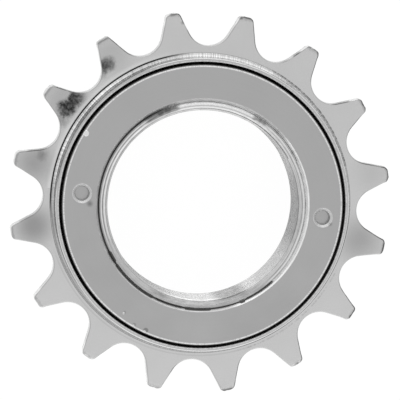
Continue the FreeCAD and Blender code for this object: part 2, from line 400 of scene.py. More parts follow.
class Geometry(Tree):
    """One geometry node group with named inputs, which are numbers unless they say otherwise."""

    def __init__(self, name, inputs):
        group = bpy.data.node_groups.new(name, "GeometryNodeTree")
        super().__init__(group)
        group.interface.new_socket("Geometry", in_out="OUTPUT", socket_type="NodeSocketGeometry")
        self.names = {}
        for entry in inputs:
            label, kind = entry if isinstance(entry, tuple) else (entry, "Float")
            kind = "NodeSocket" + kind
            made = group.interface.new_socket(label, in_out="INPUT", socket_type=kind)
            self.names[label] = made.identifier
        self.given = self.node("NodeGroupInput").outputs

    def value(self, label):
        """The number that comes in under this name."""
        return Value(self, self.given[label])

    def close(self, geometry, material):
        """Ends the tree in loose geometry that bears its material."""
        real = self.node("GeometryNodeRealizeInstances", {}, {0: geometry}).outputs[0]
        faced = self.node("GeometryNodeSetMaterial", {}, {0: real, "Material": material})
        self.node("NodeGroupOutput", {}, {0: faced.outputs[0]})

    def run(self, name, mesh, values):
        """A plain mesh object from this tree, its inputs set by their identifiers."""
        source = bpy.data.objects.new(name + "_source", mesh)
        bpy.context.scene.collection.objects.link(source)
        modifier = source.modifiers.new("Nodes", "NODES")
        modifier.node_group = self.tree
        for label, value in values.items():
            modifier[self.names[label]] = value
        source.update_tag()
        graph = bpy.context.evaluated_depsgraph_get()
        made = bpy.data.meshes.new_from_object(source.evaluated_get(graph), depsgraph=graph)
        made.name = name
        source.modifiers.remove(modifier)
        bpy.data.objects.remove(source)
        finished = bpy.data.objects.new(name, made)
        bpy.context.scene.collection.objects.link(finished)
        return finished


# Finishes

# Marks in plan: x, y, size and softness in millimetres, then strength
# painted dark reflections at the roots of three teeth
DARK_REFLECTION_PATCHES = (
    (-19.5, 23.2, 1.2, 0.8, 0.8),
    (-20.6, 22.0, 0.9, 0.9, 0.5),
    (-25.9, 14.5, 1.5, 0.8, 0.8),
    (-25.1, 15.6, 1.2, 0.8, 0.6),
    (-24.2, 16.7, 1.3, 0.8, 0.75),
    (-26.5, 12.4, 0.9, 1.0, 0.5),
    (-29.4, 5.9, 0.7, 1.0, 0.4),
)
# painted shade on teeth whose faces tilt away from the light
SHADED_TEETH = (
    (29.5, -3.6, 3.2, 3.0, 0.3),
    (30.5, 8.6, 2.4, 2.8, 0.1),
    (-29.6, -7.1, 2.8, 2.4, 0.44),
    (-30.6, 4.2, 2.8, 2.8, 0.36),
    (-26.5, 16.0, 3.4, 2.6, 0.2),
    (-19.0, 24.8, 3.0, 2.2, 0.14),
    (2.5, -34.2, 1.6, 1.8, 0.12),
    (-10.9, -32.6, 1.6, 1.8, 0.16),
)
# dark spots at three tooth tips
DARK_TIP_SPOTS = (
    (3.6, 34.1, 0.3, 0.25, 0.6),
    (-6.8, 32.1, 0.25, 0.25, 0.4),
    (-8.9, 33.3, 0.25, 0.3, 0.4),
)
RING_NICKS = (
    (-22.3, 10.8, 0.44, 0.14, 2.6),
    (-8.0, -23.75, 0.26, 0.12, 1.0),
    (-10.1, -22.85, 0.2, 0.1, 1.0),
    (-12.1, -20.75, 0.2, 0.1, 1.0),
)
RING_DENTS = (
    (-7.8, -23.45, 0.46, 0.1, 1.0),
    (-10.0, -22.65, 0.32, 0.1, 0.8),
    (-12.0, -20.6, 0.3, 0.1, 0.6),
)
RING_SMUDGES = ((-20.3, -1.7, 0.4, 0.45, 1.0), (23.3, -1.0, 0.25, 0.3, 1.0))
LIP_SCARS = (
    (7.6, 16.7, 0.35, 0.45, 1.0),
    (8.6, 16.25, 0.4, 0.5, 1.0),
    (9.4, 15.8, 0.3, 0.4, 1.0),
    (15.0, 11.1, 0.2, 0.2, 1.0),
    (-8.2, 16.4, 0.4, 0.4, 1.0),
    (-9.4, 15.8, 0.4, 0.4, 1.0),
)

# Where the painted shade in the gap over the thread strays: first and last angle, then how far in
# millimetres
GAP_STRAYS = (
    (-93.0, -80.0, 0.24),
    (-139.0, -113.0, 0.24),
    (-62.0, -60.5, 0.3),
    (-58.0, -42.0, -0.14),
    (-110.0, -96.0, -0.1),
    (-147.0, -142.0, -0.26),
)


def as_rgba(colour):
    """The colour with full alpha."""
    return (colour[0], colour[1], colour[2], 1.0)


def plated_body(colours):
    """Bright plate on the sprocket: painted dark reflections, painted light and shade on the
    shoulder, rim and teeth, turning marks, and grease inside.
    """
    s = Surface("Bright plate on the sprocket")
    inside = s.step(s.radius, 25.98 * MM, 25.92 * MM) * s.band(
        s.z, 0.8 * MM, 14.5 * MM, 0.05 * MM
    )
    mottle = s.noise(s.place, 160.0, 3.0, 0.55, 1.0)
    grain = s.noise(s.place, 2600.0, 2.0, 0.6, 2.0)
    blotch = s.noise(s.place, 700.0, 4.0, 0.7, 3.0)
    chatter = s.noise(s.around(110.0, 500.0, 500.0), 1.0, 2.0, 0.6, 5.0)
    dashed = s.step(s.noise(s.around(55.0, 500.0, 0.0), 1.0, 2.0, 0.7, 8.0), 0.42, 0.56)
    specks = s.noise(s.place, 1900.0, 3.0, 0.7, 6.0)
    turned = s.noise(s.around(2.0, 0.0, 3800.0), 1.0, 3.0, 0.6, 4.0)
    upright = s.ring(26.3, 27.2) * s.step(s.lying(), 0.6, 0.3)

    # painted dark reflections at the roots of three teeth, with ragged edges, and painted shade on
    # teeth that tilt away from the light
    dark_reflection = s.least(s.spots(DARK_REFLECTION_PATCHES, (blotch - 0.5) * 2.6), 0.9) * (0.3 + specks * 0.9)
    dark_reflection = dark_reflection * s.step(s.radius, 27.5 * MM, 28.2 * MM)
    tooth_shade = s.spots(SHADED_TEETH)
    on_plate = s.step(s.radius, 27.3 * MM, 27.5 * MM)
    at_plate = s.step(s.z, 9.9 * MM, 10.2 * MM)
    at_rim = s.step(s.z, 14.2 * MM, 14.45 * MM)

    # the shoulder: painted light on the upper left and painted shade elsewhere, with a painted
    # dark line in its crease there
    lit = s.between(69.0, 172.0, 10.0)
    shoulder = s.ring(26.4, 27.14) * at_plate * (1.0 - at_rim)
    foot = shoulder * (0.25 + s.step(s.z, 12.4 * MM, 11.4 * MM) * 0.75)
    foot = foot * (1.0 - s.between(-172.0, -112.0, 10.0) * 0.8)
    # turning streaks on the wall, lighter on average as a painted sheen that fades at the lower
    # left, less a painted dark line on the rim's rounded corner at the upper left
    streak_sheen_and_rim_shade = foot * (chatter - 0.45) * 1.6
    streak_sheen_and_rim_shade = streak_sheen_and_rim_shade - s.ring(26.42, 26.56, 0.04) * s.between(122.0, 172.0, 10.0) * 0.7
    shade = shoulder * ((1.0 - lit) * 0.36 + s.between(106.0, 124.0, 8.0) * 0.26 + 0.06)
    shade = shade + s.ring(25.7, 26.3) * at_rim * 0.16
    crease_shade = s.ring(27.06, 27.26) * at_plate * (
        s.step(s.angle, 98.0, 112.0) + s.step(s.angle, -168.0, -178.0)
    )
    # painted highlight on the plate next to the shoulder, on the upper left
    shoulder_highlight = s.step(s.radius, 28.3 * MM, 27.3 * MM) * at_plate * s.step(s.angle, 100.0, 125.0)
    # dashed painted shade at the groove on the upper right, and painted glints in dashes just
    # inside it
    dashed_shade_and_glints = s.ring(27.2, 27.36, 0.05) * dashed * s.between(22.0, 66.0, 3.0) * 0.55
    dashed_shade_and_glints = dashed_shade_and_glints - s.ring(26.9, 27.08, 0.04) * dashed * s.between(-4.0, 66.0, 3.0) * 0.9
    # faint painted shade lines at the groove and a little further out, towards -Y
    faint_shade_lines = s.ring(27.14, 27.26, 0.06) * s.between(-64.0, -4.0, 8.0) * 0.3
    faint_shade_lines = faint_shade_lines + s.ring(27.72, 27.84, 0.14) * (
        dashed * s.between(-66.0, -24.0, 6.0) * 0.2 + s.between(-150.0, -66.0, 8.0) * 0.1
    )
    light_and_shade_lines = (crease_shade * 0.93 + (dashed_shade_and_glints + faint_shade_lines)) * at_plate

    # the teeth: painted shade on the rounded edges, most where they face right, left off near the
    # tips on the left as a painted highlight, and darker tips
    edge = on_plate * s.step(s.lying(), 0.985, 0.9)
    outer = s.step(s.radius, 28.5 * MM, 30.5 * MM)
    shaded_side = s.maths(
        "MAXIMUM", s.step(s.facing(37), -0.1, 0.25), s.spot(15.3, 29.4, 1.9, 0.4)
    )
    broken = s.step(s.noise(s.place, 420.0, 2.0, 0.6, 9.0), 0.3, 0.5)
    tip = s.step(s.radius, 34.1 * MM, 34.45 * MM)
    lit_edges = s.step(s.facing(150), 0.3, 0.7) * s.step(s.radius, 32.2 * MM, 33.2 * MM)
    edge_shade = edge * (0.3 + shaded_side * broken * outer * 0.55) * (1.0 - lit_edges)
    # ragged darker marks at the tips, painted shade on the tips towards -Y, and three dark spots
    tip_marks_and_shade = tip * s.step(s.noise(s.around(7.0, 300.0, 0.0), 1.0, 2.0, 0.6, 10.0), 0.44, 0.6)
    tip_marks_and_shade = tip_marks_and_shade * 0.4 + tip * s.between(-108.0, -64.0, 3.0) * 0.35 + s.spots(DARK_TIP_SPOTS)

    # painted light: the sprocket grows lighter towards -Y and darker towards +Y
    level = 1.0 - s.y * 1.1 + (mottle - 0.5) * 0.1 + (grain - 0.5) * 0.05
    level = level + (turned - 0.5) * upright * 0.4 + streak_sheen_and_rim_shade
    # painted dark reflections, painted shade on some teeth, and a painted highlight on the plate
    # beside the shoulder
    level = level - dark_reflection - tooth_shade * on_plate + shoulder_highlight * on_plate * 0.25
    # painted shade on the barrel under the toothed plate
    level = level * (1.0 - s.ring(25.0, 27.2) * s.step(s.z, 7.5 * MM, 7.3 * MM) * 0.3)
    # painted glints in dots along the rim's inner edge
    level = level + s.ring(25.95, 26.12) * at_rim * dashed * 0.3
    level = level * (1.0 - shade) * (1.0 - light_and_shade_lines) * (1.0 - edge_shade) * (1.0 - tip_marks_and_shade)
    bright = s.scaled(tuple(colours.sprocket), s.maths("MAXIMUM", level, 0.05))
    colour = s.blend(inside * 0.84, bright, as_rgba(colours.grease_and_gap_shade))
    metallic = 1.0 - inside * 0.8
    roughness = 0.2 + (mottle - 0.5) * 0.1 + dark_reflection * 0.12 + inside * 0.25
    relief = (
        (grain - 0.5) * 0.0000022
        + (mottle - 0.5) * 0.000012
        + (chatter - 0.5) * foot * 0.00003
        + (turned - 0.5) * upright * 0.000008
        + (specks - 0.5) * tip * 0.00003
    )
    return s.finish(colour, metallic, roughness, relief)


def thread_gap_shade(s):
    """Where the gap over the lock ring's thread is painted in shade, by angle, and how far that
    painted shade strays outwards.
    """
    # painted shade from -42 degrees round past 180 to about 120 degrees; the rest of the gap is
    # painted light
    black = s.between(-182.0, -42.0) + s.step(s.angle, 112.0, 130.0)
    stray = sum(s.between(first, last) * far for first, last, far in GAP_STRAYS)
    return black, stray * MM


def plated_ring(colours):
    """Satin plate on the lock ring, a few nicks in its outer edge, grease underneath, painted
    shade in the gap over the thread, and painted highlights on its edges.
    """
    s = Surface("Satin plate on the lock ring")
    outside = s.step(s.radius, 25.17 * MM, 25.24 * MM)
    black, stray = thread_gap_shade(s)
    # painted shade in the gap over the thread, in the grease colour
    thread = s.step(s.radius - stray, 18.88 * MM, 18.83 * MM) * black * 0.95
    under = s.step(s.z, 13.3 * MM, 13.1 * MM)
    # grease on the outer wall and underneath, and the painted shade over the thread
    dark = s.least(outside * 0.84 + thread + under, 1.0)
    mottle = s.noise(s.place, 110.0, 3.0, 0.5, 11.0)
    grain = s.noise(s.place, 4200.0, 2.0, 0.6, 12.0)
    turning = s.noise(s.around(2.0, 5200.0, 0.0), 1.0, 2.0, 0.6, 13.0)
    sparkle = s.noise(s.around(90.0, 0.0, 0.0), 1.0, 2.0, 0.7, 14.0)
    brushed = s.noise(s.around(9.0, 2600.0, 0.0), 1.0, 2.0, 0.6, 15.0)
    # painted highlight along the outer edge's bevel, with painted glints in dots
    edge = s.ring(24.96, 25.16)
    # the inner lip: brushed, with a painted highlight on its right side
    lip = s.ring(18.85, 19.3, 0.05)
    # painted highlight on the gap over the thread where it is not painted in shade
    pale = s.step(s.radius, 18.95 * MM, 18.85 * MM) * (1.0 - black)
    nicks, dents, smudges = (s.spots(m) for m in (RING_NICKS, RING_DENTS, RING_SMUDGES))
    across = s.maths("ABSOLUTE", s.x) - 21.86 * MM
    from_hole = (across * across + s.y * s.y) ** 0.5
    # painted highlight on a raised rim round each pin hole
    halo = s.band(from_hole, 1.3 * MM, 1.7 * MM, 0.15 * MM)
    cloudy = 0.08 + s.step(s.y, 4.0 * MM, -10.0 * MM) * 0.16
    level = 1.0 + (mottle - 0.5) * cloudy + (grain - 0.5) * 0.06 + (turning - 0.5) * 0.05
    level = level + edge * (0.35 + s.step(sparkle, 0.4, 0.6) * 0.9) + lip * (
        (brushed - 0.4) * 0.9 + s.between(-62.0, 40.0, 8.0) * 0.6
    )
    level = level + pale * 0.7 + nicks * 1.5 * grain - dents * 0.42 - smudges * 0.5
    # painted highlight on the halos, and painted shade in a thin line at the holes' edges
    level = level + halo * 0.45 - s.band(from_hole, 1.2 * MM, 1.3 * MM, 0.06 * MM) * 0.45
    colour = s.blend(dark, s.scaled(tuple(colours.ring), level), as_rgba(colours.grease_and_gap_shade))
    roughness = 0.3 + (mottle - 0.5) * 0.08 + dark * 0.15 + halo * 0.12
    relief = (
        (grain - 0.5) * 0.0000022
        + (turning - 0.5) * 0.000001
        + (mottle - 0.5) * 0.000006
        - s.least(nicks, 1.0) * 0.00006
        - s.step(from_hole, 2.1 * MM, 1.5 * MM) * 0.00004
    )
    return s.finish(colour, 1.0 - dark * 0.8, roughness, relief, 0.1 * MM)


def plated_core(colours):
    """Bright plate on the core: its face and bore shine, with painted light and shade by side on
    the mouth and bore, and painted shade in the grease colour in the gap over the thread.
    """
    s = Surface("Bright plate on the core")
    black, stray = thread_gap_shade(s)
    # the neck seen in the gap over the thread: painted shade on one side, and a painted highlight
    # (pale) on the other
    neck_gap_shade = s.step(s.radius - stray, 18.62 * MM, 18.67 * MM)
    pale = neck_gap_shade * (1.0 - black)
    neck_gap_shade = neck_gap_shade * black * 0.95 * s.step(s.z, 0.35 * MM, 0.55 * MM)
    mottle = s.noise(s.place, 170.0, 3.0, 0.55, 21.0)
    grain = s.noise(s.place, 3000.0, 2.0, 0.6, 22.0)
    turning = s.noise(s.around(3.0, 4200.0, 2600.0), 1.0, 2.0, 0.6, 23.0)
    brushed = s.noise(s.around(14.0, 1500.0, 1500.0), 1.0, 3.0, 0.6, 24.0)
    bore = s.step(s.radius, 17.55 * MM, 17.45 * MM)
    at_front = s.step(s.z, 13.8 * MM, 14.1 * MM)
    bevel, lip = s.ring(17.5, 18.1), s.ring(18.1, 18.62)
    # painted light and shade on the mouth's bevel and lip, by side: upper left, top, right and
    # bottom
    upper_left = s.step(s.angle, 120.0, 136.0) + s.step(s.angle, -142.0, -168.0)
    top = s.between(68.0, 108.0, 5.0) * at_front
    right = s.between(-36.0, 50.0, 12.0)
    bottom = s.between(-108.0, -60.0, 14.0)
    sides = (
        s.ring(17.62, 17.86, 0.08) * 0.45
        + s.ring(18.22, 18.38) * 0.6
        - s.ring(17.98, 18.1) * 0.45
        - s.ring(17.3, 17.5) * 0.3
    )
    # painted highlight and shade lines on the lip at the right
    light_and_shade_lines = s.ring(18.24, 18.36) * 0.6 - s.ring(18.46, 18.56) * 0.35 - s.ring(17.96, 18.06) * 0.4
    lip_highlights_and_shade = sides * upper_left + (lip * 0.66 + bevel * 0.2) * top
    lip_highlights_and_shade = lip_highlights_and_shade + (lip * 0.3 + bevel * 0.15 + light_and_shade_lines) * right
    lip_highlights_and_shade = (lip_highlights_and_shade - bevel * bottom * 0.42) * at_front
    smear = s.between(112.0, 128.0, 4.0) * s.ring(17.8, 18.66, 0.15) * (0.35 + brushed * 0.8)
    scars = s.least(s.spots(LIP_SCARS) * (brushed * 1.6) + smear, 1.0) * at_front
    level = 1.0 + (mottle - 0.5) * 0.22 + (grain - 0.5) * 0.08 + (turning - 0.5) * 0.25
    level = level + (brushed - 0.5) * 0.6 + lip_highlights_and_shade - scars * 0.7 + pale * 0.6
    # turning marks shown stronger on the right as a painted sheen
    level = level + (turning - 0.5) * right * at_front * 0.8
    # painted shade and light on the bore's wall, by side
    level = level - bore * (
        s.step(s.towards(0), 0.85, 1.0) * 0.2
        + s.between(-71.0, -62.0, 9.0) * 0.4
        - s.between(-48.0, -24.0, 14.0) * 0.25
    )
    colour = s.blend(neck_gap_shade, s.scaled(tuple(colours.core), level), as_rgba(colours.grease_and_gap_shade))
    roughness = 0.2 + (mottle - 0.5) * 0.12 + (turning - 0.5) * 0.08 + neck_gap_shade * 0.25
    mouth = s.clipped(17.46, 18.14)
    crown = s.clipped(18.12, 18.6) * 0.4 + s.clipped(17.88, 18.14)
    relief = (
        (grain - 0.5) * 0.000002
        + (turning - 0.5) * 0.000003
        + (brushed - 0.5) * 0.00001
        + (mottle - 0.5) * 0.000014
        - mouth * 0.36
        - crown * top
    )
    return s.finish(colour, 1.0 - neck_gap_shade * 0.8, roughness, relief, 0.15 * MM)


def greased_steel(colours, name, share, seed):
    """Bare steel under a film of old grease that lies thicker in places."""
    s = Surface(name)
    cloud = s.noise(s.place, 420.0, 3.0, 0.6, seed)
    grain = s.noise(s.place, 5200.0, 2.0, 0.5, seed + 1.0)
    film = s.step(cloud, 0.75 - share * 0.7, 0.25 - share * 0.2)
    film = 1.0 - film * (1.0 - share)
    bare = s.scaled(tuple(colours.steel), 1.0 + (grain - 0.5) * 0.2)
    colour = s.blend(film, bare, as_rgba(colours.grease_and_gap_shade))
    roughness = 0.2 + film * 0.15 + (grain - 0.5) * 0.08
    relief = (grain - 0.5) * 0.0000015 + (cloud - 0.5) * 0.000008
    return s.finish(colour, 1.0 - film * 0.6, roughness, relief)


def give(material, *nodes):
    """Puts the material on CAD nodes."""
    for name in nodes:
        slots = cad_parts[name].data.materials
        slots.clear()
        slots.append(material)


# The sprocket body's section and tooth outline


def half_tooth(t):
    """(point, outward normal) pairs from the tip's middle, on X, to the roller seat's middle."""
    half_pitch = math.pi / t.tooth_count
    pitch_radius = t.chain_pitch / 2 / math.sin(half_pitch)
    tip_radius = pitch_radius + t.tooth_rise
    lean = t.flank_angle
    normal = Vector((math.sin(lean), math.cos(lean)))
    along = Vector((math.cos(lean), -math.sin(lean)))
    seat = Vector((math.cos(half_pitch), math.sin(half_pitch))) * pitch_radius
    foot = seat - normal * t.seat_radius
    off_flank = foot.dot(normal) - t.corner_radius
    reach = math.sqrt((tip_radius - t.corner_radius) ** 2 - off_flank**2)
    corner = normal * off_flank + along * reach
    corner_angle = math.atan2(corner.y, corner.x)
    found = []

    def add_arc(centre, radius, first, last, steps, side=1):
        for i in range(steps):
            angle = first + (last - first) * i / steps
            out = Vector((math.cos(angle), math.sin(angle)))
            found.append((centre + out * radius, out * side))

    add_arc(Vector((0, 0)), tip_radius, 0, corner_angle, 3)
    add_arc(corner, t.corner_radius, corner_angle, math.pi / 2 - lean, 6)
    start = corner + normal * t.corner_radius
    found += [(start.lerp(foot, i / 6), normal) for i in range(6)]
    add_arc(seat, t.seat_radius, -math.pi / 2 - lean, half_pitch - math.pi, 9, -1)
    last = Vector((math.cos(half_pitch), math.sin(half_pitch)))
    found.append((last * (pitch_radius - t.seat_radius), last))
    return found


def tooth_columns(t, teeth):
    """(angle, point, normal) of each column of the mesh round so many teeth."""
    half = half_tooth(t)
    flip = Matrix(((1, 0), (0, -1)))
    whole = [(flip @ p, flip @ n) for p, n in reversed(half)] + half[1:]
    columns = []
    for tooth in range(teeth):
        turn = t.first_seat_angle + (2 * tooth + 1) * math.pi / t.tooth_count
        rotation = Matrix.Rotation(turn, 2)
        for point, normal in whole[1 if tooth else 0 :]:
            angle = turn + math.atan2(point.y, point.x)
            columns.append((angle, rotation @ point, rotation @ normal))
    return columns


def with_angles(columns, angles):
    """Adds columns at these angles, each between its two neighbours."""
    columns = list(columns)
    for angle in angles:
        after = next(i for i, c in enumerate(columns) if c[0] > angle - SEAMLESS)
        if columns[after][0] - angle < 1e-4:
            continue
        a, b = columns[after - 1], columns[after]
        share = (angle - a[0]) / (b[0] - a[0])
        columns.insert(after, (angle, a[1].lerp(b[1], share), a[2].lerp(b[2], share)))
    return columns


def ratchet_radius(b, start, angle):
    """Radius of the ratchet's wall at an angle: a steep face, then a long slope."""
    step = 2 * math.pi / b.ratchet_teeth
    turn = (angle - start + SEAMLESS) % step
    corners = [(0, b.ratchet_root), (b.ratchet_face, b.ratchet_crest), (step, b.ratchet_root)]
    first, last = (corners[0], corners[1]) if turn < b.ratchet_face else (corners[1], corners[2])
    p, q = (Vector((math.cos(a), math.sin(a))) * r for a, r in (first, last))
    way = q - p
    return (p.x * q.y - p.y * q.x) / (math.cos(turn) * way.y - math.sin(turn) * way.x)


def rounded(before, corner, after, radius, steps=4):
    """Rows round one corner of the section, with a row close before and after it."""
    corner = Vector(corner)
    towards = (Vector(before) - corner).normalized()
    onwards = (Vector(after) - corner).normalized()
    start = corner + towards * radius
    end = corner + onwards * radius
    rows = [("circle", *(corner + towards * radius * 1.25))]
    for i in range(steps + 1):
        share = i / steps
        point = start.lerp(corner, share).lerp(corner.lerp(end, share), share)
        rows.append(("circle", *point))
    rows.append(("circle", *(corner + onwards * radius * 1.25)))
    return rows


def hollow(b, height, first, last, steps=7):
    """Rows of a ball race, by the angles where its hollow starts and ends."""
    rows = []
    for i in range(steps + 1):
        angle = math.radians(first + (last - first) * i / steps)
        radius = b.race_centre_radius + b.race_radius * math.cos(angle)
        rows.append(("circle", radius, height + b.race_radius * math.sin(angle)))
    return rows


def section_rows(t, b):
    """The closed section, from the rear opening up inside, over the rim and back behind."""
    front, rear = BODY_HIGH.z, BODY_LOW.z
    web_bottom = b.rear_race_height + b.race_radius
    web_top = b.front_race_height - b.race_radius
    inner_front, outer_front = (b.opening_radius, front), (b.rim_radius, front)
    foot = (b.rim_radius + 0.05 * MM, t.plate_front + b.foot_flare)
    flare_end = (b.shoulder_radius - 0.16 * MM, t.plate_front + 0.06 * MM)
    groove = [
        (b.shoulder_radius - 0.12 * MM, t.plate_front - 0.06 * MM),
        (b.shoulder_radius, t.plate_front - 0.06 * MM),
        (b.shoulder_radius + 0.04 * MM, t.plate_front - 0.01 * MM),
        (b.shoulder_radius + 0.07 * MM, t.plate_front),
    ]
    rows = [("circle", b.opening_radius, 2.0 * MM)]
    rows += hollow(b, b.rear_race_height, 0, 90)
    rows += [("ratchet", 0, web_bottom), ("ratchet", 0, web_top)]
    rows += hollow(b, b.front_race_height, -90, 0)
    rows += rounded((b.opening_radius, 0), inner_front, outer_front, 0.14 * MM)
    rows += rounded(inner_front, outer_front, foot, 0.2 * MM)
    for share in (0.3, 0.6, 0.85):
        rows.append(("circle", *Vector(outer_front).lerp(Vector(foot), share)))
    rows += rounded(outer_front, foot, flare_end, 0.16 * MM)
    rows += [("circle", *point) for point in (flare_end, *groove)]
    rows += [("front", share, 0) for share in (0, 0.1, 0.25, 0.42, 0.6, 0.76, 0.88, 0.95)]
    rows += [("edge", angle, 0) for angle in (0, 25, 50, 70, 90, 110, 130, 155, 180)]
    rows += [("rear", share, 0) for share in (0.95, 0.85, 0.65, 0.4, 0.15, 0.03)]
    rear_corner, rear_inner = (b.barrel_radius, rear), (b.opening_radius, rear)
    rows += [("circle", b.barrel_radius, t.plate_rear), ("circle", b.barrel_radius, 5.0 * MM)]
    rows += rounded((b.barrel_radius, 1), rear_corner, rear_inner, 0.5 * MM, 5)
    rows += rounded(rear_corner, rear_inner, (b.opening_radius, 1), 0.14 * MM)
    return rows


def place_in_section(row, column, t, b):
    """The point of one row on one column."""
    kind, first, second = row
    angle, edge, normal = column
    way = Vector((math.cos(angle), math.sin(angle)))
    if kind == "circle":
        return Vector((*(way * first), second))
    if kind == "ratchet":
        radius = ratchet_radius(b, t.first_seat_angle, angle)
        return Vector((*(way * radius), second))
    is_front = kind == "front" or (kind == "edge" and first <= 90)
    turn = math.radians(first if is_front else 180 - first) if kind == "edge" else 0
    inset = t.edge_rounding * (1 - math.sin(turn))
    point = edge - normal * inset
    if kind != "edge":
        inner = b.shoulder_radius if is_front else b.barrel_radius
        point = (way * (inner + 0.1 * MM)).lerp(point, first)
    drop = max(0, point.length - t.bevel_start) * 0.3
    drop += t.edge_rounding * (1 - math.cos(turn))
    height = t.plate_front - drop if is_front else t.plate_rear + drop
    return Vector((*point, height))


def sector_mesh(t, b):
    """An eighth of the sprocket body: two chain teeth outside, three ratchet teeth inside."""
    step = 2 * math.pi / b.ratchet_teeth
    corners = []
    for tooth in range(3):
        corners += [t.first_seat_angle + tooth * step]
        corners += [t.first_seat_angle + tooth * step + b.ratchet_face]
    columns = with_angles(tooth_columns(t, 2), corners)
    rows = section_rows(t, b)
    shape = bmesh.new()
    grid = [
        [shape.verts.new(place_in_section(row, column, t, b)) for column in columns]
        for row in rows
    ]
    for i, row in enumerate(rows):
        below, above = grid[i], grid[(i + 1) % len(rows)]
        flat = "ratchet" in (row[0], rows[(i + 1) % len(rows)][0])
        for j in range(len(columns) - 1):
            face = shape.faces.new((below[j], above[j], above[j + 1], below[j + 1]))
            face.smooth = not flat
    mesh = bpy.data.meshes.new("sector")
    shape.to_mesh(mesh)
    shape.free()
    return mesh


def ring_of_sectors():
    """Repeats a sector round the axle line and gives the teeth their plated unevenness."""
    g = Geometry(
        "Ring of sectors",
        [
            ("Sector", "Geometry"),
            ("Count", "Int"),
            "Wave Height",
            "Tip Roughness",
            "Inner Radius",
            "Tip Radius",
            "Seed",
            ("Material", "Material"),
        ],
    )
    count = g.value("Count")
    points = g.node("GeometryNodePoints", {}, {"Count": count}).outputs[0]
    turn = Value(g, g.node("GeometryNodeInputIndex").outputs[0]) * (2 * math.pi) / count
    rotation = g.node("FunctionNodeEulerToRotation", {}, {0: g.vector(z=turn)}).outputs[0]
    placed = g.node(
        "GeometryNodeInstanceOnPoints",
        {},
        {"Points": points, "Instance": g.given["Sector"], "Rotation": rotation},
    ).outputs[0]
    real = g.node("GeometryNodeRealizeInstances", {}, {0: placed}).outputs[0]
    joined = g.node(
        "GeometryNodeMergeByDistance", {}, {"Geometry": real, "Distance": SEAMLESS}
    ).outputs[0]
    where = g.node("GeometryNodeInputPosition").outputs[0]
    x, y, _ = g.parts(where)
    radius = (x * x + y * y) ** 0.5
    seed, inner, tip = g.value("Seed"), g.value("Inner Radius"), g.value("Tip Radius")
    wave = (g.noise(where, 110.0, 2.0, 0.5, seed) - 0.5) * g.value("Wave Height")
    rough = (g.noise(where, 800.0, 3.0, 0.6, seed + 7.0) - 0.4) * g.value("Tip Roughness")
    on_plate = g.step(radius, inner, inner + 1.5 * MM)
    on_tip = g.step(radius, tip - 1.6 * MM, tip - 0.2 * MM)
    amount = wave * on_plate + rough * on_tip
    normal = g.node("GeometryNodeInputNormal").outputs[0]
    sockets = {"Geometry": joined, "Offset": g.scaled(normal, amount)}
    moved = g.node("GeometryNodeSetPosition", {}, sockets)
    g.close(moved.outputs[0], g.given["Material"])
    return g


def thread_ridge():
    """Sweeps a ridge along a helix. Its two ends run out into the wall."""
    g = Geometry(
        "Thread ridge",
        [
            "Radius",
            "Bottom",
            "Pitch",
            "Turns",
            "Height",
            "Foot Width",
            "Crest Width",
            "Start Angle",
            ("Left Hand", "Bool"),
            "Outwards",
            "Run Out",
            ("Material", "Material"),
        ],
    )
    turns, height = g.value("Turns"), g.value("Height")
    helix = g.node(
        "GeometryNodeCurveSpiral",
        {},
        {
            "Resolution": 160,
            "Rotations": turns,
            "Start Radius": g.given["Radius"],
            "End Radius": g.given["Radius"],
            "Height": turns * g.value("Pitch"),
            "Reverse": g.given["Left Hand"],
        },
    ).outputs[0]
    lift, twist = g.vector(z=g.value("Bottom")), g.vector(z=g.value("Start Angle"))
    sockets = {"Geometry": helix, "Translation": lift, "Rotation": twist}
    set_down = g.node("GeometryNodeTransform", {}, sockets).outputs[0]
    upright = g.node(
        "GeometryNodeSetCurveNormal", {"mode": "Z_UP"}, {"Curve": set_down}
    ).outputs[0]
    share = Value(g, g.node("GeometryNodeSplineParameter").outputs["Factor"])
    run_out = g.value("Run Out") / turns
    ends = g.maths("MINIMUM", share / run_out, (1.0 - share) / run_out)
    size = g.maths("MAXIMUM", g.maths("MINIMUM", ends, 1.0), 0.02)
    tapered = g.node(
        "GeometryNodeSetCurveRadius", {}, {"Curve": upright, "Radius": size}
    ).outputs[0]
    hand = g.value("Left Hand") * 2.0 - 1.0
    outwards = g.value("Outwards") * hand
    section = g.node(
        "GeometryNodeCurvePrimitiveQuadrilateral",
        {"mode": "TRAPEZOID"},
        {
            "Height": height,
            "Bottom Width": g.given["Foot Width"],
            "Top Width": g.given["Crest Width"],
            "Offset": 0.0,
        },
    ).outputs[0]
    middle = g.vector(x=height * 0.45 * outwards)
    quarter = g.vector(z=outwards * (-math.pi / 2))
    sockets = {"Geometry": section, "Translation": middle, "Rotation": quarter}
    laid = g.node("GeometryNodeTransform", {}, sockets).outputs[0]
    sockets = {"Curve": tapered, "Profile Curve": laid, "Fill Caps": True}
    swept = g.node("GeometryNodeCurveToMesh", {}, sockets).outputs[0]
    shaded = g.node(
        "GeometryNodeSetShadeSmooth", {}, {"Geometry": swept, "Shade Smooth": False}
    ).outputs[0]
    g.close(shaded, g.given["Material"])
    return g


# One operator for each piece or group of like pieces


